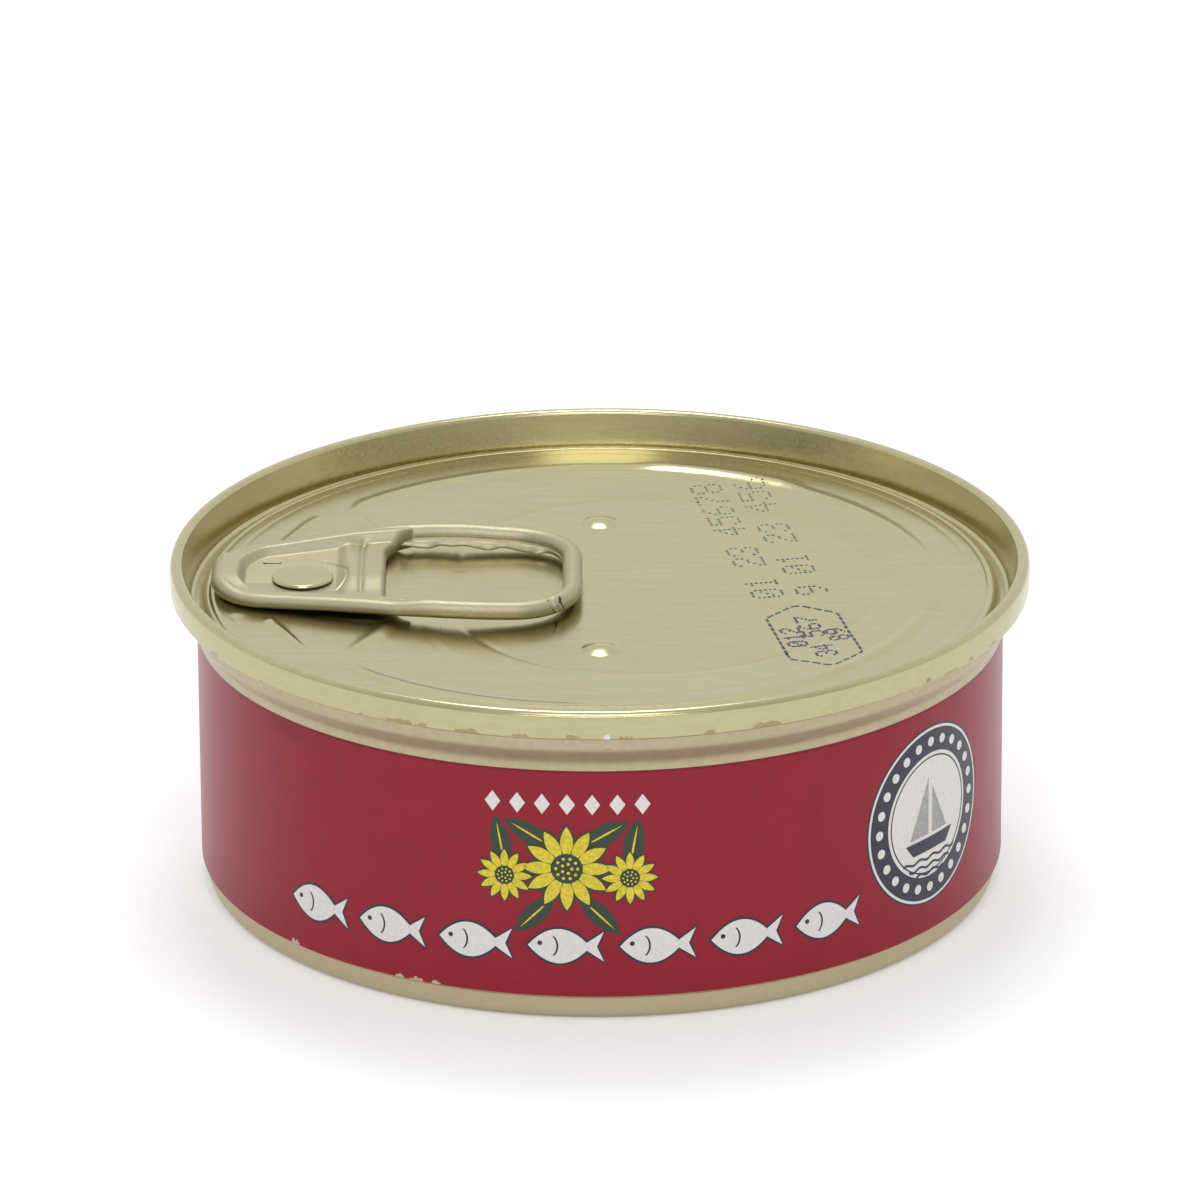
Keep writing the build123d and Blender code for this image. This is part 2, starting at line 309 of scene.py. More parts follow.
def gold_lacquered_tinplate(name, rgb, rough, grain, scuff):
    """Rolled tinplate under clear gold lacquer: a satin metal, warm because the lacquer filters
    what the tin reflects, with the faint streaks of the rolling mill and a fine matt grain."""
    material, tree = new_material(name)
    place = add(tree, PLACE).outputs["Object"]
    rolled = add(tree, "ShaderNodeMapping", {"Vector": place, "Scale": (0.08, 1.0, 1.0)})
    patterns = (
        (rolled, 0.5, 3.0, 0.6),
        (place, 6.0, 2.0, 0.5),
        (place, 0.22, 2.0, 0.6),  # drawn coarser than real lacquer grain, so that it shows
        (place, 0.35, 4.0, 0.65),
        (place, 0.9, 4.0, 0.6),
    )
    streaks, clouds, grit, ragged, torn = (
        add(tree, NOISE, {"Vector": at, "Scale": PER_MM / wide, "Detail": detail, "Roughness": broken})
        for at, wide, detail, broken in patterns
    )
    wear, rub_and_painted_shade = (
        add(tree, "ShaderNodeAttribute", attribute_name=field).outputs["Fac"] for field in ("wear", "rub_and_painted_shade")
    )
    # on the tab this share also holds the painted shade of the lance slit
    scuffed = add(tree, RAMP, (add(tree, MATHS, (rub_and_painted_shade, torn), operation="ADD"), 1.02, 1.12), **SMOOTH)
    nicked = add(tree, RAMP, (add(tree, MATHS, (wear, ragged), operation="ADD"), 1.0, 1.06), **SMOOTH)
    streaked = add(tree, RAMP, (streaks, 0.35, 0.65), **SMOOTH)
    tone = add(tree, MIX, {0: streaked, 6: scaled(rgb, 0.965), 7: scaled(rgb, 1.02)}, **OF_COLOURS)
    for share, over in (
        (add(tree, RAMP, (clouds, 0.4, 0.75, 0.0, 0.35), **SMOOTH), scaled(rgb, 0.93)),
        (scuffed, scaled(scuff)),
        (nicked, scaled(bpy.context.scene.can_colours.bare)),
    ):
        tone = add(tree, MIX, {0: share, 6: tone, 7: over}, **OF_COLOURS)
    worn = add(tree, MATHS, (scuffed, nicked), operation="MAXIMUM")
    lost = add(tree, MATHS, (worn, 0.6), operation="MULTIPLY")
    relief = add(tree, MATHS, (grit, streaks), operation="ADD")
    surface = {
        "Base Color": tone,
        "Metallic": add(tree, MATHS, (1.0, lost), operation="SUBTRACT"),
        "Roughness": add(tree, RAMP, (grit, 0.3, 0.7, rough - 0.04, rough + 0.05), **SMOOTH),
        "Normal": add(tree, "ShaderNodeBump", {"Strength": 1.0, "Distance": grain * MM, "Height": relief}),
    }
    add(tree, "ShaderNodeOutputMaterial", {"Surface": add(tree, PRINCIPLED, surface)})
    return material


def litho_printed_tinplate():
    """Red litho ink under varnish on the wall, and gold lacquered tin above and below it: the ink
    is an even, glossy paint with faint mottle and rubs, and its edges are cut as if by a ruler."""
    sizes, palette = bpy.context.scene.can_body_sizes, bpy.context.scene.can_colours
    red, tin = palette.red, palette.body_gold
    low, high = sizes.label_low, sizes.label_high
    edge = 0.03 * MM
    painted_shade_line = 0.16 * MM  # painted shade: a thin dark line along the print's top edge
    material, tree = new_material("litho_printed_tinplate")
    place = add(tree, PLACE).outputs["Object"]
    height = add(tree, "ShaderNodeSeparateXYZ", {"Vector": place}).outputs["Z"]
    fine, mottle, speck, streaks = (
        add(tree, NOISE, {"Vector": place, "Scale": PER_MM / wide, "Detail": detail, "Roughness": broken})
        for wide, detail, broken in ((0.35, 3.0, 0.6), (2.5, 3.0, 0.5), (0.18, 1.0, 0.5), (0.8, 3.0, 0.6))
    )
    wear, rub_and_painted_shade, smudge = (
        add(tree, "ShaderNodeAttribute", attribute_name=field).outputs["Fac"]
        for field in ("wear", "rub_and_painted_shade", "smudge")
    )
    above = add(tree, RAMP, (height, low - edge, low + edge), **SMOOTH)
    below = add(tree, RAMP, (height, high - edge, high + edge, 1.0, 0.0), **SMOOTH)
    chips = add(tree, MATHS, (wear, fine), operation="ADD")
    kept = add(tree, RAMP, (chips, 1.0, 1.04, 1.0, 0.0), **SMOOTH)
    band = add(tree, MATHS, (above, below), operation="MULTIPLY")
    printed = add(tree, MATHS, (band, kept), operation="MULTIPLY")
    mottled = add(tree, RAMP, (mottle, 0.3, 0.7), **SMOOTH)
    ink = add(tree, MIX, {0: mottled, 6: scaled(red, 0.96), 7: scaled(red, 1.05)}, **OF_COLOURS)
    for share, over in (
        (add(tree, RAMP, (speck, 0.62, 0.72, 0.0, 0.25), **SMOOTH), scaled(red, 1.35)),
        # painted shade: the top edge of the red is painted darker
        (add(tree, RAMP, (height, high - 2 * painted_shade_line, high - painted_shade_line), **SMOOTH), scaled(red, 0.7)),
        (smudge, scaled(red, 0.6)),
    ):
        ink = add(tree, MIX, {0: share, 6: ink, 7: over}, **OF_COLOURS)
    streaked = add(tree, RAMP, (streaks, 0.35, 0.65), **SMOOTH)
    gold = add(tree, MIX, {0: streaked, 6: scaled(tin, 0.95), 7: scaled(tin, 1.03)}, **OF_COLOURS)
    # painted light: the lacquer on the foot is painted 1.2 times lighter, standing in for a brighter
    # reflection
    above_painted_light_foot = add(tree, RAMP, (height, 3 * MM, 6 * MM), **SMOOTH)
    gold = add(tree, MIX, {0: above_painted_light_foot, 6: scaled(tin, 1.2), 7: gold}, **OF_COLOURS)
    scuffed = add(tree, RAMP, (add(tree, MATHS, (rub_and_painted_shade, streaks), operation="ADD"), 1.0, 1.15), **SMOOTH)
    gold = add(tree, MIX, {0: scuffed, 6: gold, 7: scaled(palette.scuff)}, **OF_COLOURS)
    surface = {
        "Base Color": add(tree, MIX, {0: printed, 6: gold, 7: ink}, **OF_COLOURS),
        "Metallic": add(tree, MATHS, (1.0, printed), operation="SUBTRACT"),
        "Roughness": add(tree, RAMP, (printed, 0.0, 1.0, 0.36, 0.30), **SMOOTH),
        "Normal": add(tree, "ShaderNodeBump", {"Strength": 1.0, "Distance": 0.004 * MM, "Height": fine}),
        "Specular IOR Level": 0.25,
    }
    add(tree, "ShaderNodeOutputMaterial", {"Surface": add(tree, PRINCIPLED, surface)})
    return material


def printing_ink(name, rgb, speckle=0.12):
    """Offset ink on tin: flat and even, a little broken by the plate's grain, under the same varnish."""
    material, tree = new_material(name)
    place = add(tree, PLACE).outputs["Object"]
    grain = add(tree, NOISE, {"Vector": place, "Scale": PER_MM / 0.3, "Detail": 3.0, "Roughness": 0.6})
    broken = add(tree, RAMP, (grain, 0.35, 0.7), **SMOOTH)
    lighter = scaled(rgb, 1 + speckle / 3)
    surface = {
        "Base Color": add(tree, MIX, {0: broken, 6: scaled(rgb, 1 - speckle), 7: lighter}, **OF_COLOURS),
        "Roughness": add(tree, RAMP, (grain, 0.2, 0.8, 0.3, 0.42), **SMOOTH),
    }
    add(tree, "ShaderNodeOutputMaterial", {"Surface": add(tree, PRINCIPLED, surface)})
    return material


# ---- the drawn body -------------------------------------------------------------


def bump_at(angles, heights, places):
    """A field of soft spots on a turned wall: each place is (degrees, height, width, tall)."""
    field = np.zeros_like(angles)
    for degrees, z, wide, tall in places:
        turn = (angles - math.radians(degrees) + math.pi) % (2 * math.pi) - math.pi
        field = np.maximum(field, np.exp(-((turn / math.radians(wide)) ** 2) - ((heights - z) / tall) ** 2))
    return field


FRONT = -90  # degrees round Z of the can's front


class CAN_OT_body(bpy.types.Operator):
    """Build the drawn body with its neck, shoulder, printed wall, foot and set-up base"""

    bl_idname = "can.body"
    bl_label = "Drawn body"

    def execute(self, context):
        sizes = context.scene.can_body_sizes
        end = context.scene.can_end_sizes
        neck, top = BODY_HIGH.x, BODY_HIGH.z
        wall, foot = sizes.wall_radius, sizes.foot_radius
        ring = foot - 2.6 * MM
        corners = [
            (0, sizes.recess_depth - 0.35 * MM, 0),
            (ring - 8.9 * MM, sizes.recess_depth - 0.35 * MM, 0.6 * MM),
            (ring - 7.4 * MM, sizes.recess_depth, 0.6 * MM),
            (ring - 1.4 * MM, sizes.recess_depth, 0.6 * MM),
            (ring, 0, 0.5 * MM),
            (foot, 0, sizes.foot_round),
            (foot, sizes.foot_height, 0.12 * MM),
            (wall, sizes.foot_height + sizes.foot_step, 0.12 * MM),
            (wall, sizes.shoulder_low, 1.3 * MM),
            (neck, sizes.shoulder_high, 0.9 * MM),
            (neck, top, 0),
            (end.chuck_foot + 0.3 * MM, top, 0),
            (end.chuck_foot + 0.3 * MM, end.sink_floor - 0.4 * MM, 0),
            (0, end.sink_floor - 0.4 * MM, 0),
        ]
        profile = rounded(corners)
        dense = []
        for (r0, z0), (r1, z1) in zip(profile, profile[1:]):
            steps = max(1, math.ceil(abs(z1 - z0) / (0.35 * MM))) if r0 > foot * 0.99 else 1
            dense += [(r0 + (r1 - r0) * k / steps, z0 + (z1 - z0) * k / steps) for k in range(steps)]
        dense.append(profile[-1])
        vertices, faces = turned(dense)
        made = piece("can_body_wall", vertices, faces, litho_printed_tinplate())
        outward(made)
        co = np.array(vertices)
        angles, heights = np.arctan2(co[:, 1], co[:, 0]), co[:, 2]
        radial = np.hypot(co[:, 0], co[:, 1])
        chips = [(-48.6, 2.4, 1.3), (-29.5, 2.3, 1.0), (-26.6, 2.35, 1.6), (-23.8, 2.3, 0.8)]
        wear = bump_at(angles, heights, [(FRONT + a, z * MM, w, 0.28 * MM) for a, z, w in chips])
        rng = np.random.default_rng(7)
        marks = [
            (rng.uniform(0, 360), rng.uniform(3.0, 20.0) * MM, rng.uniform(0.12, 0.3), 0.18 * MM)
            for _ in range(26)
        ]
        wear = np.maximum(wear, 0.62 * bump_at(angles, heights, marks))
        wear[radial < foot * 0.9] = 0
        mark(made, "wear", wear)
        mark(made, "smudge", 0.55 * bump_at(angles, heights, [(FRONT - 50, 20.3 * MM, 6.0, 0.7 * MM)]))
        rubs = [(rng.uniform(0, 360), rng.choice([23.4, 24.2]) * MM, 2.2, 0.15 * MM) for _ in range(30)]
        rubs += [(rng.uniform(0, 360), 2.1 * MM, 3.0, 0.12 * MM) for _ in range(18)]
        mark(made, "rub_and_painted_shade", 0.6 * bump_at(angles, heights, rubs))
        hold(made, "printed_wall", "can_body")
        return {"FINISHED"}


# ---- the easy-open end ----------------------------------------------------------


def eased(value):
    """Clamps to 0..1 with a smooth start and stop."""
    value = np.clip(value, 0, 1)
    return value * value * (3 - 2 * value)


def straight_edged_disc(x, y, middle, radius, edge, corner):
    """Signed distance to a disc with one straight edge on its -X side and eased corners."""
    core = radius - corner
    core_edge = edge + corner
    half_chord = math.sqrt(max(core**2 - (core_edge - middle) ** 2, 0))
    from_middle = np.hypot(x - middle, y)
    on_arc = middle + core * (x - middle) / np.maximum(from_middle, 1e-9) >= core_edge
    to_chord = np.hypot(x - core_edge, y - np.clip(y, -half_chord, half_chord))
    inside = (from_middle <= core) & (x >= core_edge)
    return np.where(inside, 0, np.where(on_arc, from_middle - core, to_chord)) - corner


def bead_distance(x, y, sizes, rivet_x):
    """Signed distance to the bead's run, a circle that turns in behind the rivet."""
    bay = 29.0 * MM
    corner = 3.0 * MM
    ring = np.hypot(x, y) - sizes.bead_radius
    bay_side = bay - np.hypot(x - (rivet_x + 8.2 * MM - bay), y)
    past = np.hypot(np.maximum(corner + ring, 0), np.maximum(corner + bay_side, 0))
    return np.minimum(-corner, np.maximum(ring, bay_side)) + past


def rib(x, y, start, end, width, height):
    """A short raised crease between two points."""
    a, b = np.array(start) * MM, np.array(end) * MM
    t = np.clip(((x - a[0]) * (b - a)[0] + (y - a[1]) * (b - a)[1]) / ((b - a) @ (b - a)), 0, 1)
    away = np.hypot(x - a[0] - t * (b - a)[0], y - a[1] - t * (b - a)[1])
    return height * MM * np.exp(-((away / (width * MM)) ** 2)) * np.sin(np.pi * np.clip(t, 0.04, 0.96)) ** 0.5


def panel_height(x, y):
    """Height of the panel's top above the flat: bead, well, score line, dimples and creases."""
    sizes = bpy.context.scene.can_end_sizes
    rivet_x = bpy.context.scene.can_tab_sizes.rivet_x
    r = np.hypot(x, y)
    rise = np.zeros_like(r)
    bead_half = 1.0 * MM
    away = np.abs(bead_distance(x, y, sizes, rivet_x)) / bead_half
    rise += sizes.bead_height * np.where(away < 1, np.cos(away.clip(0, 1) * math.pi / 2) ** 2, 0)
    edge = rivet_x + 9.3 * MM
    rim = straight_edged_disc(x, y, 0, 25.0 * MM, edge, 18.0 * MM)
    floor = straight_edged_disc(x, y, 3.0 * MM, 19.3 * MM, edge + 3.1 * MM, 14.5 * MM)
    fall = np.clip(-rim / np.maximum(-rim + np.maximum(floor, 0), 1e-9), 0, 1)
    soft = 0.07  # share of the slope that is rounded at its foot and at its top
    late = np.where(fall > 1 - soft, 1 - soft - (1 - fall) ** 2 / (2 * soft), fall - soft / 2)
    fall = np.where(fall < soft, fall**2 / (2 * soft), late)
    rise -= sizes.well_depth * fall
    rise -= 0.055 * MM * np.exp(-((floor / (0.17 * MM)) ** 2))
    rise -= 0.030 * MM * np.exp(-((rim / (0.30 * MM)) ** 2))
    rise -= 0.07 * MM * np.exp(-(((r - sizes.score_radius) / (0.13 * MM)) ** 2))
    rise -= 0.02 * MM * np.exp(-(((r - sizes.score_radius + 1.1 * MM) / (0.2 * MM)) ** 2))
    for side in (-1, 1):
        away = np.hypot(x, y - side * sizes.dimple_spread) / (1.55 * MM)
        rise += 0.42 * MM * np.clip(1 - away**2, 0, None)
        rise += rib(x, y, (-26.1, side * 8.0), (-23.2, side * 14.9), 0.34, 0.22)
        away = np.hypot((x + 28.7 * MM) / 1.3, y - side * 6.3 * MM) / (0.8 * MM)
        rise += 0.08 * MM * np.clip(1 - away**2, 0, None)
        away = np.hypot(x + 26.2 * MM, y - side * 8.0 * MM) / (0.42 * MM)
        rise += 0.18 * MM * np.clip(1 - away**2, 0, None)
    turn = np.degrees(np.arctan2(y, x))
    pressed = eased((turn - 50) / 8) * eased((86 - turn) / 8)  # the bead is pressed sharper here
    rise += 0.24 * MM * pressed * np.exp(-(((r - 27.0 * MM) / (0.85 * MM)) ** 2))
    boss = np.hypot(x - rivet_x, y)
    rise += 0.35 * MM * np.clip((5.0 * MM - boss) / (0.8 * MM), 0, 1)
    wave = np.sin(x / (5.1 * MM) + 1.3) * np.sin(y / (6.3 * MM)) + np.sin((x + y) / (9.7 * MM))
    return rise + 0.008 * MM * wave


def panel_rings(edge):
    """Radii of the panel's rings, closer together where the bead and the score line lie."""
    zones = ((0.6, 12, 0.6), (12, 24.5, 0.28), (24.5, 29.0, 0.22), (29.0, 29.8, 0.27), (29.8, 31.4, 0.08))
    rings = [np.arange(low, high, step) for low, high, step in zones]
    return [r * MM for r in np.concatenate(rings) if r * MM < edge - 0.3 * MM]


class CAN_OT_end(bpy.types.Operator):
    """Build the easy-open end: double seam, chuck wall, countersink, beaded panel and rivet"""

    bl_idname = "can.end"
    bl_label = "Easy-open end"

    def execute(self, context):
        sizes = context.scene.can_end_sizes
        tab, palette = context.scene.can_tab_sizes, context.scene.can_colours
        seam, top, foot = END_HIGH.x, END_HIGH.z, BODY_HIGH.z
        edge, floor = sizes.panel_radius, sizes.sink_floor
        panel = sizes.panel_top
        rings = panel_rings(edge)
        outer = [
            (rings[-1], panel, 0),
            (edge, panel, 0.32 * MM),
            (edge, floor, 0.42 * MM),
            (sizes.chuck_foot, floor, 0.45 * MM),
            (sizes.chuck_top, top, 0.36 * MM),
            (seam - 0.04 * MM, top, 0.5 * MM),
            (seam, top - 1.0 * MM, 1.0 * MM),
            (seam - 0.05 * MM, foot, 0.22 * MM),
            (BODY_HIGH.x + 0.02 * MM, foot + 0.02 * MM, 0),
            (sizes.chuck_foot + 0.25 * MM, floor - 0.15 * MM, 0),
            (edge - 0.3 * MM, floor - 0.15 * MM, 0),
            (edge - 0.35 * MM, panel - 0.9 * MM, 0),
            (0, panel - 0.9 * MM, 0),
        ]
        profile = [(r, panel) for r in rings[:-1]] + rounded(outer, 72)
        profile.insert(0, (0, panel))
        vertices, faces = turned(profile, flip=True)
        co = np.array(vertices)
        on_panel = (np.hypot(co[:, 0], co[:, 1]) <= rings[-1] + 1e-7) & (co[:, 2] > panel - 0.5 * MM)
        co[on_panel, 2] += panel_height(co[on_panel, 0], co[on_panel, 1])
        shank = [
            (0, 0, 0),
            (1.7 * MM, 0, 0),
            (1.7 * MM, 0.62 * MM, 0),
            (tab.rivet_width / 2 - 0.1 * MM, 0.62 * MM, 0.05 * MM),
            (tab.rivet_width / 2, 0.70 * MM, 0.07 * MM),
            (tab.rivet_width / 2 - 0.12 * MM, 0.90 * MM, 0.12 * MM),
            (0, 0.90 * MM, 0),
        ]
        rivet, rivet_faces = turned([(r, z + panel) for r, z in rounded(shank)], 96, base=len(co))
        rivet = np.array(rivet) + [tab.rivet_x, tab.rivet_y, 0]
        finish = ("gold_lacquered_tinplate", palette.gold, 0.20, 0.0012, palette.scuff)
        lacquer = gold_lacquered_tinplate(*finish)
        made = piece("easy_open_end_shell", np.vstack([co, rivet]), faces + rivet_faces, lacquer)
        outward(made)
        co = np.array([v.co for v in made.data.vertices])
        angles, heights = np.arctan2(co[:, 1], co[:, 0]), co[:, 2]
        outside = np.hypot(co[:, 0], co[:, 1]) > sizes.chuck_top + 0.6 * MM
        low = foot + 0.25 * MM
        nicks = [(-41.5, 0.45, 1.0), (-56.5, 0.3, 0.9), (-27.5, 0.15, 1.1), (0.7, 0.0, 1.0), (35.5, 0.1, 0.9)]
        nicks += [(54, 0.5, 0.6), (-24.5, 0.0, 0.6), (15, 0.0, 0.5), (-10, 0.05, 0.5)]
        rng = np.random.default_rng(11)
        nicks += [(rng.uniform(90, 270), rng.uniform(0, 0.5), rng.uniform(0.4, 1.0)) for _ in range(12)]
        wear = bump_at(angles, heights, [(FRONT + a, low + z * MM, w * 0.8, 0.3 * MM) for a, z, w in nicks])
        mark(made, "wear", np.where(outside, 0.8 * wear, 0))
        ranges = ((0, 360), (-0.1, 0.25), (0.8, 3.5), (0.1, 0.22))
        drawn = [[rng.uniform(least, most) for least, most in ranges] for _ in range(90)]
        rubs = [(degrees, low + up * MM, wide, tall * MM) for degrees, up, wide, tall in drawn]
        mark(made, "rub_and_painted_shade", np.where(outside, 0.8 * bump_at(angles, heights, rubs), 0))
        hold(made, "gold_lacquered_end", "easy_open_end")
        return {"FINISHED"}


# ---- the pull tab ---------------------------------------------------------------


def tab_outline(count):
    """Even points round the tab's outside, seen from above."""
    nose, end = TAB_LOW.x, TAB_HIGH.x
    shoulder = bpy.context.scene.can_tab_sizes.rivet_x + 10.8 * MM
    half = 9.7 * MM
    right = [
        (nose, 3.0 * MM, 5.0 * MM),
        (nose + 2.5 * MM, 5.5 * MM, 5.5 * MM),
        (shoulder, half, 24.0 * MM),
        (end, 8.7 * MM, 6.0 * MM),
    ]
    corners = right + [(x, -y, r) for x, y, r in reversed(right)]
    return even_points(rounded(corners, 160, closed=True), count)


def curl_middle(x):
    """Height of the curl's middle: low at the nose, arched over the web, dipping to the ring."""
    places = np.array([-32, -30, -28, -25, -21, -18, -14.5, -11, -8, -5, -1, 1]) * MM
    rises = np.array([-0.08, -0.06, 0, 0.13, 0.35, 0.43, 0.41, 0.29, 0.12, 0.01, 0, 0]) * MM
    levels = 25.13 * MM + rises
    fine = np.linspace(places[0], places[-1], 600)
    width = 36
    padded = np.pad(np.interp(fine, places, levels), width, mode="edge")
    window = np.hanning(2 * width + 1)
    return np.interp(x, fine, np.convolve(padded, window / window.sum(), "valid"))


def front_share(x, y):
    """How far the curl is pressed flatter: only beside the web, on the front."""
    beside_web = eased((-13 * MM - x) / (4 * MM)) * eased((x + 31.5 * MM) / (3 * MM))
    return beside_web * eased((-y - 1 * MM) / (3 * MM))


def curl_crest(x, y):
    """Height of the curl's crest."""
    half = bpy.context.scene.can_tab_sizes.curl_height / 2
    return curl_middle(x) + half - 0.36 * MM * front_share(x, y)


def curl_section(wide, high):
    """The curled rim cut across, as (outward, up, share of the hem's reach) from its middle."""
    a, b = wide / 2, high / 2
    turns = [math.radians(d) for d in range(-100, 206, 12)]
    ring = [(a * math.cos(t), b * math.sin(t), 0.0) for t in turns]
    hem = ((-1.02, -0.35, 0.25), (-1.0, -0.66, 1.0), (-0.95, -0.88, 1.0), (-0.5, -1.02, 0.1))
    return ring + [(out * a, up * b, share) for out, up, share in hem]


def lance_end(x, y):
    """1 in the open end of the cut round the rivet: the web dips there, and the slit is painted dark as
    painted shade.
    """
    along = np.abs(x - bpy.context.scene.can_tab_sizes.rivet_x + 2.5 * MM)
    across = np.abs(y - 2.75 * MM)
    return eased((0.75 * MM - along) / (0.12 * MM)) * eased((0.24 * MM - across) / (0.08 * MM))


def web_height(x, y, inside):
    """Height of the web's top: level round the rivet, up to the curl's crest at its edges."""
    sizes = bpy.context.scene.can_tab_sizes
    hole = sizes.rivet_x + sizes.hole_from_rivet
    crest = curl_crest(x, y) - 0.01 * MM
    shelf = 1.4 * MM + 0.6 * MM * eased((-26.5 * MM - x) / (2.5 * MM))
    level = sizes.web_top + 0.09 * np.maximum(y, -1 * MM)
    set_down = eased((inside - shelf) / (0.9 * MM)) * eased((hole - 2.2 * MM - x) / (1.8 * MM))
    bar = eased((x - hole + 4.0 * MM) / (1.8 * MM)) * eased((inside - 1.3 * MM) / (0.9 * MM))
    top = crest - (crest - level) * set_down - 0.75 * MM * bar * (1 - set_down)
    groove = np.exp(-(((x - hole + 1.9 * MM) / (0.22 * MM)) ** 2)) * eased((inside - 1.5 * MM) / (0.5 * MM))
    top -= 0.16 * MM * groove * eased((y + 4.2 * MM) / (0.8 * MM))
    lip = np.clip((x - hole + 0.4 * MM) / (0.4 * MM), 0, 1)
    top -= 0.4 * MM * (1 - np.sqrt(1 - lip**2))
    away = np.hypot(x - sizes.rivet_x, y - sizes.rivet_y)
    turn = np.degrees(np.arctan2(y - sizes.rivet_y, x - sizes.rivet_x))
    arc = np.exp(-(((away - 3.6 * MM) / (0.09 * MM)) ** 2)) * eased((turn + 52) / 8) * eased((66 - turn) / 8)
    top -= 0.14 * MM * arc
    return top - 0.25 * MM * lance_end(x, y)


class CAN_OT_tab(bpy.types.Operator):
    """Build the pull tab: curled rim, riveted web with its C-shaped cut, and the turned-in hem"""

    bl_idname = "can.tab"
    bl_label = "Pull tab"

    def execute(self, context):
        sizes, palette = context.scene.can_tab_sizes, context.scene.can_colours
        steps = 440
        outline = tab_outline(steps)
        tangent = np.roll(outline, -1, axis=0) - np.roll(outline, 1, axis=0)
        tangent /= np.linalg.norm(tangent, axis=1)[:, None]
        normal = np.column_stack([tangent[:, 1], -tangent[:, 0]])
        if ((outline - outline.mean(0)) * normal).sum() < 0:
            normal = -normal
        middle = outline - normal * sizes.curl_width / 2
        section = curl_section(sizes.curl_width, sizes.curl_height)
        hole = sizes.rivet_x + sizes.hole_from_rivet
        x = outline[:, 0]
        hem = eased((x - hole + 1 * MM) / (2 * MM)) * eased((-2.6 * MM - x) / (1.4 * MM))
        hem *= eased(normal[:, 1] * 2)
        along = np.arange(steps) / steps * 2 * math.pi
        wave = 0.12 * np.sin(along * 17) + 0.09 * np.sin(along * 29 + 1) + 0.04 * np.sin(along * 47 + 2)
        pressed = front_share(x, outline[:, 1])
        crest = curl_middle(x) - 0.21 * MM * pressed
        rows = []
        for out, up, share in section:
            reach = out - share * hem * (0.60 + wave) * MM
            drop = share * hem * (0.12 + 0.4 * wave) * MM
            flat = middle + normal * np.reshape(reach, (-1, 1))
            rows.append(np.column_stack([flat, crest + up * (1 - 0.2 * pressed) - drop]))
        vertices = np.vstack(rows)
        faces = strips(len(rows), steps)
        last = (len(rows) - 1) * steps
        faces += [(last + j, last + (j + 1) % steps, (j + 1) % steps, j) for j in range(steps)]
        web_vertices, web_faces = self.web(sizes, outline, hole, len(vertices))
        finish = ("dull_gold_lacquered_tinplate", palette.tab_gold, 0.48, 0.002, palette.scratch_and_slit_shade)
        lacquer = gold_lacquered_tinplate(*finish)
        made = piece("pull_tab_shell", np.vstack([vertices, web_vertices]), faces + web_faces, lacquer)
        outward(made)
        co = np.array([v.co for v in made.data.vertices])
        front = (co[:, 1] < -6.8 * MM).astype(float)
        level = co[:, 2] - 25.2 * MM
        cuts = ((-3.0, 0.35, 0.10), (-3.35, -0.3, 0.08), (-3.8, 0.6, 0.07), (-13.2, 1.3, 0.05))
        dark = sum(np.exp(-(((co[:, 0] - x * MM + lean * level) / (w * MM)) ** 2)) for x, lean, w in cuts)
        bare = np.exp(-(((co[:, 0] + 3.55 * MM + 0.3 * level) / (0.12 * MM)) ** 2))
        mark(made, "wear", 0.68 * front * bare)
        # painted shade: the lance slit is painted dark in the scratch colour
        painted_slit_shade = lance_end(co[:, 0], co[:, 1]) * (co[:, 2] > sizes.web_top - 0.28 * MM)
        mark(made, "rub_and_painted_shade", np.maximum(0.9 * front * np.minimum(dark, 1), painted_slit_shade))
        hold(made, "gold_lacquered_tab", "pull_tab")
        return {"FINISHED"}

    def web(self, sizes, outline, hole, base):
        """The web's plate between the nose and the finger hole, as a closed shell."""
        columns, lanes = 180, 220
        xs = np.linspace(TAB_LOW.x + sizes.curl_width * 0.5, hole, columns)
        upper = outline[outline[:, 1] > 0]
        order = np.argsort(upper[:, 0])
        half = np.interp(xs, upper[order, 0], upper[order, 1]) - sizes.curl_width * 0.5
        across = np.linspace(-1, 1, lanes)
        rows = []
        corner = 3.6 * MM  # radius of the finger hole's corners beside the web
        for x, reach in zip(xs, np.maximum(half, 0.3 * MM)):
            y = reach * across
            inside = np.hypot(x - outline[:, :1], y - outline[:, 1:]).min(axis=0)
            into_corner = np.clip(np.abs(y) - reach + corner, 0, corner - 0.3 * MM)
            rounding = corner - np.sqrt(corner**2 - into_corner**2)
            ahead = x + rounding * eased((x - hole + 2.5 * MM) / (2.5 * MM))
            rows.append(np.column_stack([ahead, y, web_height(np.full(lanes, x), y, inside)]))
        top = np.vstack(rows)
        count = len(top)
        under = range(0, lanes, 3)  # the plate's underside is flat, so it has fewer lanes
        below = top[[i * lanes + k for i in range(columns) for k in under]]
        below[:, 2] = np.minimum(sizes.web_top - 0.3 * MM, below[:, 2])
        faces = []
        for i in range(columns - 1):
            for j in range(lanes - 1):
                a = base + i * lanes + j
                faces.append((a, a + lanes, a + lanes + 1, a + 1))
            low, near = base + count + len(under) * i, base + i * lanes
            high, far = low + len(under) - 1, near + lanes - 1
            faces += [(j, j + 1, j + 1 + len(under), j + len(under)) for j in range(low, high)]
            faces.append((near, low, low + len(under), near + lanes))
            faces.append((far, far + lanes, high + len(under), high))
        for i in (0, columns - 1):
            for j in range(len(under) - 1):
                edge = [base + i * lanes + 3 * j + k for k in range(4)]
                low = base + count + len(under) * i + j
                faces.append(tuple(edge + [low + 1, low]))
        return np.vstack([top, below]), faces


# ---- printing -------------------------------------------------------------------


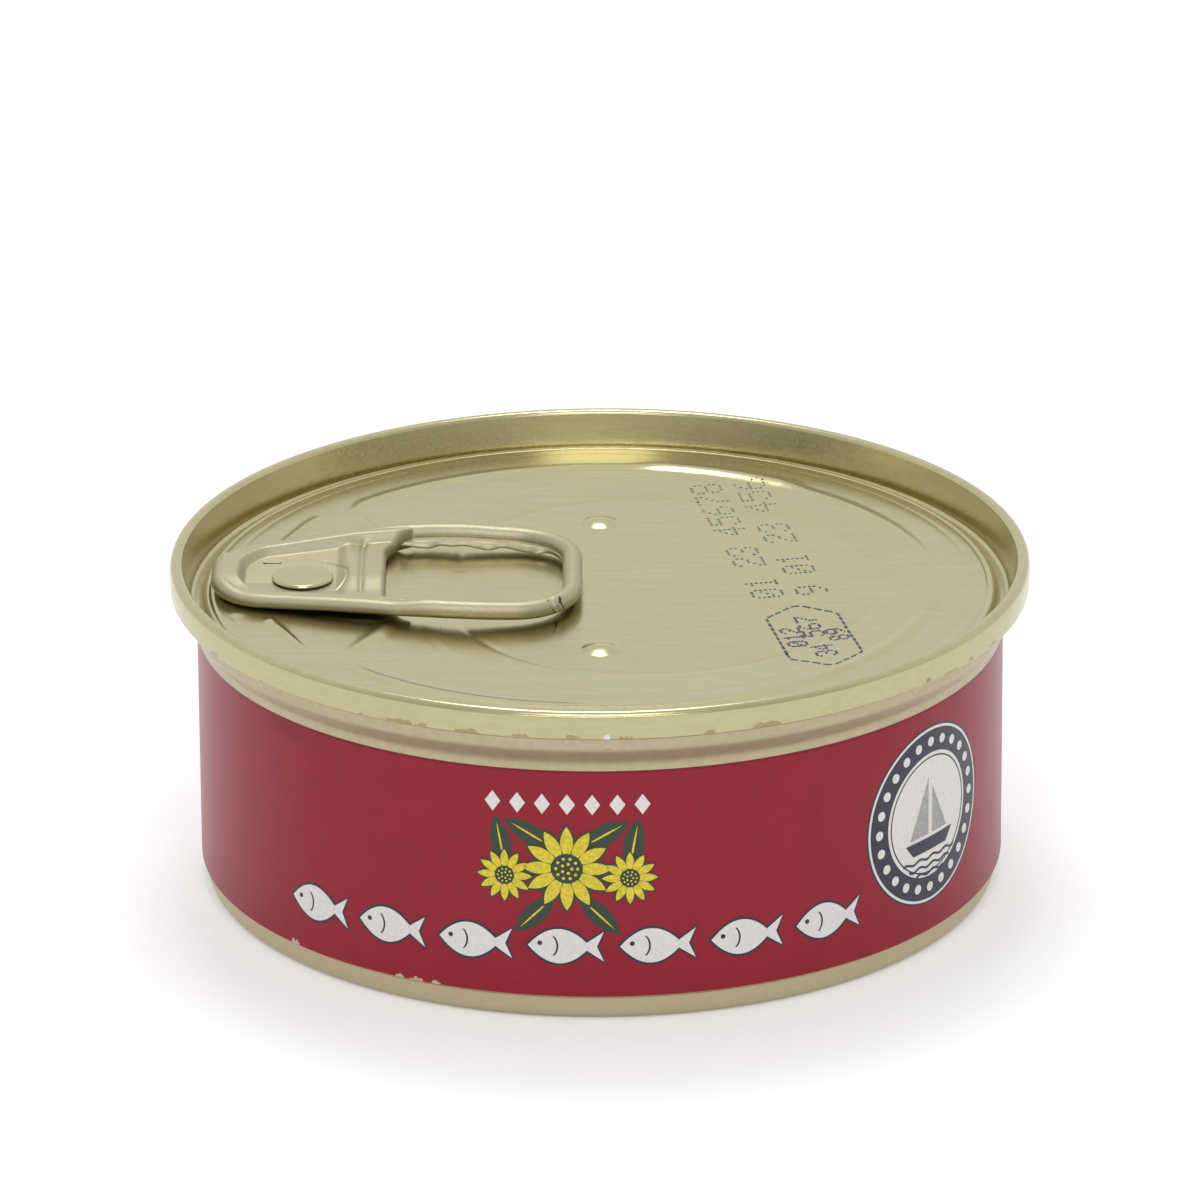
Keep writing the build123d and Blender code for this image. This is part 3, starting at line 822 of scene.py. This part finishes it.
def ellipse(middle_x, middle_y, half_x, half_y, tilt=0.0, steps=40, start=0.0, sweep=360.0):
    """Points round an ellipse or part of one, in millimetres and degrees."""
    points = []
    whole = abs(sweep) >= 360
    for k in range(steps + (not whole)):
        t = math.radians(start + sweep * k / steps)
        a, b = half_x * math.cos(t), half_y * math.sin(t)
        c, s = math.cos(math.radians(tilt)), math.sin(math.radians(tilt))
        points.append((middle_x + a * c - b * s, middle_y + a * s + b * c))
    return points


def lens(middle_x, middle_y, half_long, half_wide, tilt=0.0, steps=14):
    """A leaf or a fish's body: two arcs that meet in points."""
    points = []
    for side in (1, -1):
        for k in range(steps):
            t = -1 + 2 * k / steps
            points.append((t * side * half_long, side * half_wide * (1 - t * t)))
    c, s = math.cos(math.radians(tilt)), math.sin(math.radians(tilt))
    return [(middle_x + x * c - y * s, middle_y + x * s + y * c) for x, y in points]


def flat_print(name, outlines, coat, material, rings=()):
    """Thin closed patches of ink in the flat, x along the wall and z up, cut so that they can bend."""
    work = bmesh.new()
    for points in outlines:
        work.faces.new([work.verts.new((x * MM, 0, y * MM)) for x, y in points])
    for outer, inner in rings:
        pairs = [[work.verts.new((x * MM, 0, y * MM)) for x, y in edge] for edge in (outer, inner)]
        count = len(outer)
        for j in range(count):
            k = (j + 1) % count
            work.faces.new([pairs[0][j], pairs[0][k], pairs[1][k], pairs[1][j]])
    xs = [v.co.x for v in work.verts]
    apart = 0.8 * MM
    cut = math.ceil(min(xs) / apart) * apart
    while cut < max(xs):
        geometry = work.verts[:] + work.edges[:] + work.faces[:]
        bmesh.ops.bisect_plane(work, geom=geometry, plane_co=(cut, 0, 0), plane_no=(1, 0, 0), dist=1e-8)
        cut += apart
    bmesh.ops.translate(work, verts=work.verts[:], vec=(0, -INK, 0))
    grown = bmesh.ops.extrude_face_region(work, geom=work.faces[:])
    risen = [g for g in grown["geom"] if isinstance(g, bmesh.types.BMVert)]
    bmesh.ops.translate(work, verts=risen, vec=(0, (1 + coat) * INK, 0))
    bmesh.ops.recalc_face_normals(work, faces=work.faces[:])
    mesh = bpy.data.meshes.new(name)
    work.to_mesh(mesh)
    work.free()
    mesh.materials.append(material)
    return in_scene(name, mesh)


def piece_nodes(name, inputs):
    """An empty tree that takes and gives a mesh, with its other named inputs, and what it is given."""
    tree = bpy.data.node_groups.new(name, "GeometryNodeTree")
    for label, kind in {"Geometry": "Geometry", **inputs}.items():
        tree.interface.new_socket(label, in_out="INPUT", socket_type="NodeSocket" + kind)
    tree.interface.new_socket("Geometry", in_out="OUTPUT", socket_type="NodeSocketGeometry")
    return tree, tree.nodes.new("NodeGroupInput").outputs


def wall_wrap_tree():
    """Geometry nodes that set a flat print in a row, repeat it round the can and bend it onto the wall."""
    lengths, counts = ("Start", "Height", "Pitch", "Radius"), ("Count", "Copies")
    inputs = {**dict.fromkeys(lengths, "Float"), **dict.fromkeys(counts, "Int"), "Ink": "Material"}
    tree, given = piece_nodes("print_on_wall", inputs)
    start = add(tree, "ShaderNodeCombineXYZ", {"X": given["Start"], "Z": given["Height"]})
    step = add(tree, "ShaderNodeCombineXYZ", {"X": given["Pitch"]})
    line = {"Count": given["Count"], "Start Location": start, "Offset": step}
    row = add(tree, "GeometryNodeMeshLine", line)
    placed = add(tree, "GeometryNodeInstanceOnPoints", {"Points": row, "Instance": given["Geometry"]})
    single = add(tree, "GeometryNodeRealizeInstances", (placed,))
    round_can = add(tree, MATHS, (given["Radius"], 2 * math.pi), operation="MULTIPLY")
    spacing = add(tree, MATHS, (round_can, given["Copies"]), operation="DIVIDE")
    apart = add(tree, "ShaderNodeCombineXYZ", {"X": spacing})
    copies = add(tree, "GeometryNodeMeshLine", {"Count": given["Copies"], "Offset": apart})
    repeated = add(tree, "GeometryNodeInstanceOnPoints", {"Points": copies, "Instance": single})
    flat = add(tree, "GeometryNodeRealizeInstances", (repeated,))
    place = add(tree, "ShaderNodeSeparateXYZ", (add(tree, "GeometryNodeInputPosition"),)).outputs
    turn = add(tree, MATHS, (place["X"], given["Radius"]), operation="DIVIDE")
    reach = add(tree, MATHS, (given["Radius"], place["Y"]), operation="ADD")
    across, deep = (
        add(tree, MATHS, (reach, add(tree, MATHS, (turn,), operation=share)), operation="MULTIPLY")
        for share in ("SINE", "COSINE")
    )
    forward = add(tree, MATHS, (deep, -1.0), operation="MULTIPLY")
    bent = add(tree, "ShaderNodeCombineXYZ", (across, forward, place["Z"]))
    wrapped = add(tree, "GeometryNodeSetPosition", {"Geometry": flat, "Position": bent})
    whole = add(tree, "GeometryNodeRealizeInstances", (wrapped,))
    inked = add(tree, "GeometryNodeSetMaterial", {"Geometry": whole, "Material": given["Ink"]})
    add(tree, "NodeGroupOutput", {"Geometry": inked})
    return tree


def through_nodes(made, tree, **inputs):
    """Runs a piece through geometry nodes with these inputs and leaves the result as a plain mesh."""
    modifier = made.modifiers.new("nodes", "NODES")
    modifier.node_group = tree
    for item in tree.interface.items_tree:
        if item.in_out == "INPUT" and item.name in inputs:
            modifier[item.identifier] = inputs[item.name]
    bpy.context.view_layer.update()
    depsgraph = bpy.context.evaluated_depsgraph_get()
    result = bpy.data.meshes.new_from_object(made.evaluated_get(depsgraph), depsgraph=depsgraph)
    made.modifiers.remove(modifier)
    old = made.data
    made.data = result
    bpy.data.meshes.remove(old)
    result.name = made.name
    return made


def on_wall(name, outlines, coat, ink, place, height, rings=(), pitch=0.0, count=1):
    """Prints outlines on the wall, at the front and again at the back."""
    made = flat_print(name, outlines, coat, ink, rings)
    through_nodes(
        made,
        bpy.data.node_groups.get("print_on_wall") or wall_wrap_tree(),
        Start=place,
        Height=height,
        Pitch=pitch,
        Radius=bpy.context.scene.can_body_sizes.wall_radius,
        Count=count,
        Copies=2,
        Ink=ink,
    )
    hold(outward(made), "printed_wall")


def fish(grow):
    """One fish of the frieze, in millimetres, grown by an outline's width."""
    body = lens(-0.55, 0, 2.45 + 1.3 * grow, 1.45 + grow)
    tip, notch, spread = 2.95 + grow, 2.4 + grow, 1.25 + 1.3 * grow
    return [body, [(1.15 - 2.2 * grow, 0), (tip, spread), (notch, 0), (tip, -spread)]]


class CAN_OT_frieze(bpy.types.Operator):
    """Print the frieze of white fish and the row of small lozenges"""

    bl_idname = "can.frieze"
    bl_label = "Fish frieze"

    def execute(self, context):
        sizes, palette = context.scene.can_print_sizes, context.scene.can_colours
        white = printing_ink("white_offset_ink", palette.white, 0.06)
        dark = printing_ink("blue_black_offset_ink", palette.dark)
        row = {"pitch": sizes.fish_pitch, "count": sizes.fish_count}
        at = (sizes.frieze_start, sizes.frieze_middle)
        on_wall("frieze_outline", fish(0.2), 1, dark, *at, **row)
        on_wall("frieze_fish", fish(0.0), 2, white, *at, **row)
        gill = ellipse(-1.35, 0, 0.75, 1.0, start=-55, sweep=110, steps=8)
        gill += ellipse(-1.5, 0, 0.75, 1.0, start=55, sweep=-110, steps=8)
        eye = ellipse(-2.05, 0.22, 0.2, 0.2, steps=10)
        on_wall("frieze_gills", [gill, eye], 3, dark, *at, **row)
        lozenge = [(-0.62, 0), (0, -0.85), (0.62, 0), (0, 0.85)]
        small = {"pitch": 1.95 * MM, "count": 7}
        on_wall("lozenge_row", [lozenge], 2, white, -8.5 * MM, 18.35 * MM, **small)
        return {"FINISHED"}


def on_circle(count, radius, first=0.0):
    """Places and turns, in degrees, of this many things round a circle."""
    turns = [first + 360 / count * k for k in range(count)]
    return [(radius * math.cos(math.radians(t)), radius * math.sin(math.radians(t)), t) for t in turns]


def petals(count, inner, outer, half_wide):
    """Petals round a flower's middle."""
    reach, place = (outer - inner) / 2, (outer + inner) / 2
    return [lens(x, y, reach, half_wide, turn) for x, y, turn in on_circle(count, place)]


def moved(outlines, x, y):
    """The same outlines, shifted."""
    return [[(a + x, b + y) for a, b in points] for points in outlines]


class CAN_OT_blossom(bpy.types.Operator):
    """Print the blossoms: three yellow flowers on dark leaves"""

    bl_idname = "can.blossom"
    bl_label = "Blossoms"
    right_leaves = ((2.9, 3.1, 30), (2.5, -3.6, -45), (5.2, 2.2, 80))  # place and tilt of each

    def execute(self, context):
        sizes, palette = context.scene.can_print_sizes, context.scene.can_colours
        yellow = printing_ink("yellow_offset_ink", palette.yellow, 0.2)
        green = printing_ink("dark_green_offset_ink", palette.green)
        at = (sizes.blossom_place, sizes.blossom_middle)
        flowers = ((0, 0.3, 1.0), (-4.9, -0.5, 0.62), (4.9, -0.5, 0.62))
        stems = list(self.right_leaves) + [(-x, y, 180 - tilt) for x, y, tilt in self.right_leaves]
        leaves = [lens(x, y, 2.3, 0.85, tilt) for x, y, tilt in stems]
        backs, heads, eyes, seeds = [], [], [], []
        for x, y, size in flowers:
            backs += moved(petals(12, 0.5 * size, 3.75 * size, 0.72 * size), x, y)
            heads += moved(petals(12, 0.8 * size, 3.5 * size, 0.5 * size), x, y)
            eyes.append(ellipse(x, y, 1.25 * size, 1.25 * size))
            for ring, count in ((0.85, 10), (0.4, 5)):
                for across, up, _ in on_circle(count, ring * size):
                    seeds.append(ellipse(x + across, y + up, 0.13 * size, 0.13 * size, steps=8))
        on_wall("blossom_leaves", leaves, 1, green, *at)
        veins = [lens(x, y, 1.7, 0.08, tilt) for x, y, tilt in stems]
        on_wall("blossom_veins", veins, 2, yellow, *at)
        on_wall("blossom_backs", backs, 3, green, *at)
        on_wall("blossom_petals", heads, 4, yellow, *at)
        on_wall("blossom_eyes", eyes, 5, green, *at)
        on_wall("blossom_seeds", seeds, 6, yellow, *at)
        return {"FINISHED"}


class CAN_OT_roundel(bpy.types.Operator):
    """Print the roundel: a white disc, a dark band with dots, and a small boat on waves"""

    bl_idname = "can.roundel"
    bl_label = "Roundel"

    def execute(self, context):
        sizes, palette = context.scene.can_print_sizes, context.scene.can_colours
        white = bpy.data.materials["white_offset_ink"]
        dark = bpy.data.materials["blue_black_offset_ink"]
        grey = printing_ink("half_tone_grey_ink", palette.grey, 0.25)
        at = (sizes.roundel_place, sizes.roundel_middle)
        edge, disc, band_out, band_in, rule_out, rule_in = (
            ellipse(0, 0, radius, radius, steps=72)
            for radius in sizes.roundel_radius / MM - np.array([0, 0.18, 0.4, 2.3, 2.6, 2.72])
        )
        on_wall("roundel_edge", [edge], 1, dark, *at)
        on_wall("roundel_disc", [disc], 2, white, *at)
        on_wall("roundel_band", [], 3, dark, *at, rings=[(band_out, band_in)])
        middles = on_circle(24, sizes.roundel_radius / MM - 1.35)
        dots = [ellipse(x, y, 0.4, 0.4, steps=12) for x, y, _ in middles]
        on_wall("roundel_dots", dots, 4, white, *at)
        sails = [[(-0.25, -1.6), (-0.25, 3.2), (-2.6, -1.6)], [(0.25, -1.6), (2.3, -1.6), (0.25, 2.4)]]
        on_wall("roundel_sails", sails, 3, grey, *at)
        hull = [[(-3.1, -1.9), (3.1, -1.9), (2.2, -3.0), (-2.2, -3.0)]]
        waves = []
        for level, half in ((-3.5, 3.4), (-4.15, 2.7), (-4.75, 1.8)):
            top = [(x, level + 0.12 * math.sin(x * 3.6)) for x in np.linspace(-half, half, 24)]
            waves.append(top + [(x, y - 0.2) for x, y in reversed(top)])
        on_wall("roundel_hull", hull + waves, 4, dark, *at)
        on_wall("roundel_rule", [], 3, dark, *at, rings=[(rule_out, rule_in)])
        return {"FINISHED"}


# ---- ink-jet dots on the end ----------------------------------------------------

FIGURES = {
    "0": "01110 10001 10011 10101 11001 10001 01110",
    "1": "00100 01100 00100 00100 00100 00100 01110",
    "2": "01110 10001 00001 00110 01000 10000 11111",
    "3": "01110 10001 00001 00110 00001 10001 01110",
    "4": "00010 00110 01010 10010 11111 00010 00010",
    "5": "11111 10000 11110 00001 00001 10001 01110",
    "6": "00110 01000 10000 11110 10001 10001 01110",
    "7": "11111 00001 00010 00100 01000 01000 01000",
    "8": "01110 10001 10001 01110 10001 10001 01110",
    "9": "01110 10001 10001 01111 00001 00010 01100",
}


def figure_dots(text, step):
    """Dot places for plain figures, the first at the origin, running along x."""
    dots = []
    for place, sign in enumerate(text):
        for row, line in enumerate(FIGURES.get(sign, "").split()):
            dots += [((place * 6 + k) * step, (6 - row) * step) for k, dot in enumerate(line) if dot == "1"]
    return dots


def dots_tree():
    """Geometry nodes that put a small flat dot of ink on every point."""
    inputs = {"Dot Radius": "Float", "Dot Height": "Float", "Ink": "Material"}
    tree, given = piece_nodes("dots_on_points", inputs)
    shape = {"Vertices": 10, "Radius": given["Dot Radius"], "Depth": given["Dot Height"]}
    dot = add(tree, "GeometryNodeMeshCylinder", shape)
    vary = add(tree, "FunctionNodeRandomValue", {2: 0.8, 3: 1.15, "Seed": 4}, data_type="FLOAT")
    size = add(tree, "ShaderNodeCombineXYZ", (vary, vary, 1.0))
    spread = {"Points": given["Geometry"], "Instance": dot, "Scale": size}
    placed = add(tree, "GeometryNodeInstanceOnPoints", spread)
    whole = add(tree, "GeometryNodeRealizeInstances", (placed,))
    inked = add(tree, "GeometryNodeSetMaterial", {"Geometry": whole, "Material": given["Ink"]})
    add(tree, "NodeGroupOutput", {"Geometry": inked})
    return tree


def jet_ink():
    """Ink-jet ink on lacquer: blue-black and thin, so the metal glints through at the dots' edges, and
    paler towards the back, where the jet ran out."""
    palette = bpy.context.scene.can_colours
    material, tree = new_material("blue_black_jet_ink")
    place = add(tree, PLACE).outputs["Object"]
    grain = add(tree, NOISE, {"Vector": place, "Scale": PER_MM / 0.25, "Detail": 2.0, "Roughness": 0.5})
    thin = add(tree, RAMP, (grain, 0.35, 0.7), **SMOOTH)
    tone = add(tree, MIX, {0: thin, 6: scaled(palette.jet), 7: scaled(palette.jet, 1.8)}, **OF_COLOURS)
    back = add(tree, "ShaderNodeSeparateXYZ", {"Vector": place}).outputs["Y"]
    faded = add(tree, RAMP, (back, -4 * MM, 20 * MM, 0.0, 0.6), **SMOOTH)
    tone = add(tree, MIX, {0: faded, 6: tone, 7: scaled(palette.thin_jet)}, **OF_COLOURS)
    shader = add(tree, PRINCIPLED, {"Base Color": tone, "Metallic": 0.25, "Roughness": 0.42})
    add(tree, "ShaderNodeOutputMaterial", {"Surface": shader})
    return material


class CAN_OT_code(bpy.types.Operator):
    """Put the ink-jet dots on the end: two rows of plain figures and a dashed frame"""

    bl_idname = "can.code"
    bl_label = "Ink-jet dots"

    def execute(self, context):
        end = context.scene.can_end_sizes
        step, row_gap = 0.40, 3.6  # millimetres from dot to dot, and from the first row to the second
        rows_from, frame_at = (14.7, -2.6), (16.9, -11.5)
        turn = math.radians(101)
        c, s = math.cos(turn), math.sin(turn)
        rows = figure_dots("01 23 45678", step)
        rows += [(x, y - row_gap) for x, y in figure_dots("9 01 23 456", step)]
        lower = [(-7.0, 0), (-4.6, -2.9), (4.6, -2.9)]  # half of the frame, which turns into the other
        corners = [(x * way, y * way, 0.9) for way in (1, -1) for x, y in lower]
        ring = even_points(rounded(corners, 60, closed=True), 132)
        framed = [(x, y) for k, (x, y) in enumerate(ring) if k % 4 != 3]  # every fourth dot left out
        lines = (("012", 0.24, -1.8, 0.9), ("34 567", 0.26, -4.6, -0.9), ("89", 0.24, -1.2, -2.6))
        for text, fine, left, up in lines:
            framed += [(x + left, y + up) for x, y in figure_dots(text, fine)]
        places = [
            (at[0] + x * c - y * s, at[1] + x * s + y * c)
            for at, dots in ((rows_from, rows), (frame_at, framed))
            for x, y in dots
        ]
        points = np.array(places) * MM
        rise = panel_height(points[:, 0], points[:, 1]) + end.panel_top
        mesh = bpy.data.meshes.new("jet_dots")
        mesh.from_pydata([(x, y, z) for (x, y), z in zip(points, rise)], [], [])
        made = in_scene("jet_dots", mesh)
        inputs = {"Dot Radius": 0.13 * MM, "Dot Height": 0.03 * MM, "Ink": jet_ink()}
        through_nodes(made, dots_tree(), **inputs)
        hold(made, "gold_lacquered_end")
        return {"FINISHED"}


# ---- the studio -----------------------------------------------------------------


def area_light(name, place, target, size, watts, tall=None):
    """A soft light that faces its target, square unless it is given a height of its own."""
    data = bpy.data.lights.new(name, "AREA")
    data.shape = "RECTANGLE"
    data.size = size
    data.size_y = tall or size
    data.energy = watts
    made = in_scene(name, data)
    made.location = place
    made.rotation_euler = (Vector(target) - Vector(place)).to_track_quat("-Z", "Y").to_euler()


def studio_floor():
    """Matt white paper: it keeps the can's soft shadow and is white to the eye elsewhere."""
    material, tree = new_material("white_paper_floor")
    paper = add(tree, "ShaderNodeBsdfDiffuse", {"Color": scaled(bpy.context.scene.can_colours.paper)})
    rays = add(tree, "ShaderNodeLightPath").outputs
    to_eye = add(tree, MATHS, (rays["Is Camera Ray"], 0.19), operation="MULTIPLY")
    to_metal = add(tree, MATHS, (rays["Is Glossy Ray"], 0.1), operation="MULTIPLY")
    white = add(tree, MATHS, (to_eye, to_metal), operation="ADD")
    glow = add(tree, "ShaderNodeEmission", {"Color": (1, 1, 1, 1), "Strength": white})
    both = add(tree, "ShaderNodeAddShader", (paper, glow))
    add(tree, "ShaderNodeOutputMaterial", {"Surface": both})
    return material


class CAN_OT_stage(bpy.types.Operator):
    """Set up the white floor, the surroundings, the soft lights and the camera"""

    bl_idname = "can.stage"
    bl_label = "Studio"

    def execute(self, context):
        scene = context.scene
        reach = 4.0
        floor = piece(
            "stage_floor",
            [(-reach, -reach, 0), (reach, -reach, 0), (reach, reach, 0), (-reach, reach, 0)],
            [(0, 1, 2, 3)],
            studio_floor(),
        )
        world = bpy.data.worlds.new("white_surroundings")
        scene.world = world
        world.use_nodes = True
        tree = world.node_tree
        tree.nodes.clear()
        axes = add(tree, "ShaderNodeSeparateXYZ", {"Vector": add(tree, PLACE).outputs["Generated"]}).outputs
        level = add(tree, RAMP, (axes["Y"], -0.9, 0.5, 0.65, 0.9), **SMOOTH)
        rays = add(tree, "ShaderNodeLightPath").outputs
        white = add(tree, "ShaderNodeBackground", {"Color": (1, 1, 1, 1), "Strength": 1.0})
        room = add(tree, "ShaderNodeBackground", {"Color": (1, 1, 1, 1), "Strength": level})
        chosen = add(tree, "ShaderNodeMixShader", (rays["Is Camera Ray"], room, white))
        add(tree, "ShaderNodeOutputWorld", {"Surface": chosen})
        target = (0, 0, 0.02)
        area_light("lamp_over_back", (-0.02, 0.26, 0.60), target, 0.2, 1.0)
        area_light("softbox_in_front", (0.0, -0.75, 0.85), target, 0.5, 2.2)
        area_light("strip_in_front", (0.0, -1.1, 0.36), target, 0.9, 1.2, tall=0.12)
        self.camera(scene)
        scene.view_settings.view_transform = "Standard"
        return {"FINISHED"}

    def camera(self, scene):
        """A long lens a little above the can, square on to its front."""
        away, tilt = 0.77903, 0.36931
        look_at = Vector((0, 0, 0.02282))
        data = bpy.data.cameras.new("camera")
        data.sensor_width = 36
        data.lens = 291.58
        data.clip_start = 0.01
        data.clip_end = 20
        made = in_scene("camera", data)
        place = look_at + Vector((0, -away * math.cos(tilt), away * math.sin(tilt)))
        turn = (look_at - place).to_track_quat("-Z", "Y").to_matrix().to_4x4()
        roll = Matrix.Rotation(-0.005992, 4, "Z")
        made.matrix_world = Matrix.Translation(place) @ turn @ roll
        scene.camera = made


class CAN_PT_panel(bpy.types.Panel):
    """Lists the can's pieces in the order in which they are built"""

    bl_label = "Round Food Can"
    bl_space_type = "VIEW_3D"
    bl_region_type = "UI"
    bl_category = "Can"

    def draw(self, context):
        for operator in OPERATORS:
            self.layout.operator(operator.bl_idname)


GROUPS = {
    "can_body_sizes": CanBodySizes,
    "can_end_sizes": EndSizes,
    "can_tab_sizes": TabSizes,
    "can_print_sizes": PrintSizes,
    "can_colours": CanColours,
}
OPERATORS = (
    CAN_OT_body,
    CAN_OT_end,
    CAN_OT_tab,
    CAN_OT_frieze,
    CAN_OT_blossom,
    CAN_OT_roundel,
    CAN_OT_code,
    CAN_OT_stage,
)


def register():
    for made in (*GROUPS.values(), *OPERATORS, CAN_PT_panel):
        bpy.utils.register_class(made)
    for name, group in GROUPS.items():
        setattr(bpy.types.Scene, name, PointerProperty(type=group))


def unregister():
    for name in GROUPS:
        delattr(bpy.types.Scene, name)
    for made in reversed((*GROUPS.values(), *OPERATORS, CAN_PT_panel)):
        bpy.utils.unregister_class(made)


def main():
    register()
    for operator in OPERATORS:
        group, name = operator.bl_idname.split(".")
        getattr(getattr(bpy.ops, group), name)()


if __name__ == "__main__":
    main()
